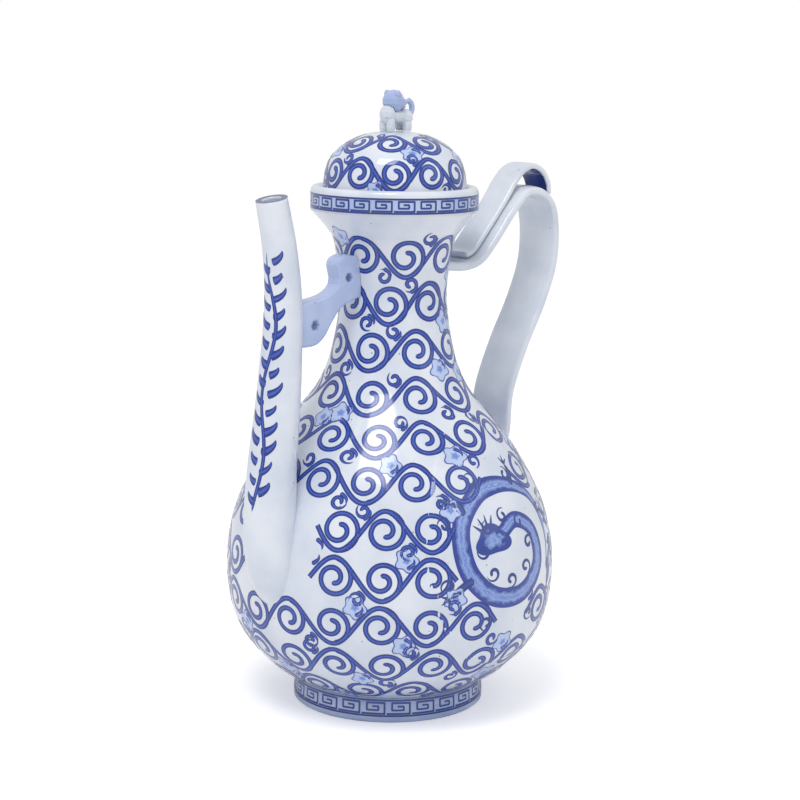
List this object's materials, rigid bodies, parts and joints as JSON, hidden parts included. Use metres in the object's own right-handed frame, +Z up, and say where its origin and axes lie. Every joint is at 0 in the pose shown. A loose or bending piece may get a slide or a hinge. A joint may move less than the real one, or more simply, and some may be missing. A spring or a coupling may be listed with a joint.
{
  "type": "covered ewer",
  "caption": "Pear-shaped porcelain ewer with a tall curved spout braced by a cloud strut, a strap handle and a lift-off domed lid with a lion finial.",
  "frame": {"origin": "on the standing plane, under the middle of the reach from spout to handle", "axes": "+Z up, -X towards the spout, +X towards the handle, +Y across the plane of spout and handle"},
  "size_m": [0.1864, 0.1504, 0.2799],
  "materials": {
    "painted_glaze": "bluish-white porcelain glaze with painting in underglaze cobalt blue",
    "plain_glaze": "plain bluish-white porcelain glaze"
  },
  "bodies": {
    "ewer": {"foot_ring": "painted_glaze", "lower_bowl": "painted_glaze", "upper_bowl": "painted_glaze", "neck": "painted_glaze", "mouth_collar": "painted_glaze", "spout": "painted_glaze", "spout_strut": "plain_glaze", "handle_strap": "plain_glaze", "handle_strip": "plain_glaze"},
    "lid": {"lid_dome": "painted_glaze", "lid_flange": "plain_glaze", "lion_body": "plain_glaze", "lion_head": "painted_glaze", "lion_tail": "plain_glaze"}
  },
  "joints": [
    {"name": "lid_lift", "type": "slide", "parent": "ewer", "child": "lid", "axis": [0, 0, 1], "range_m": [0, 0.06]}
  ]
}
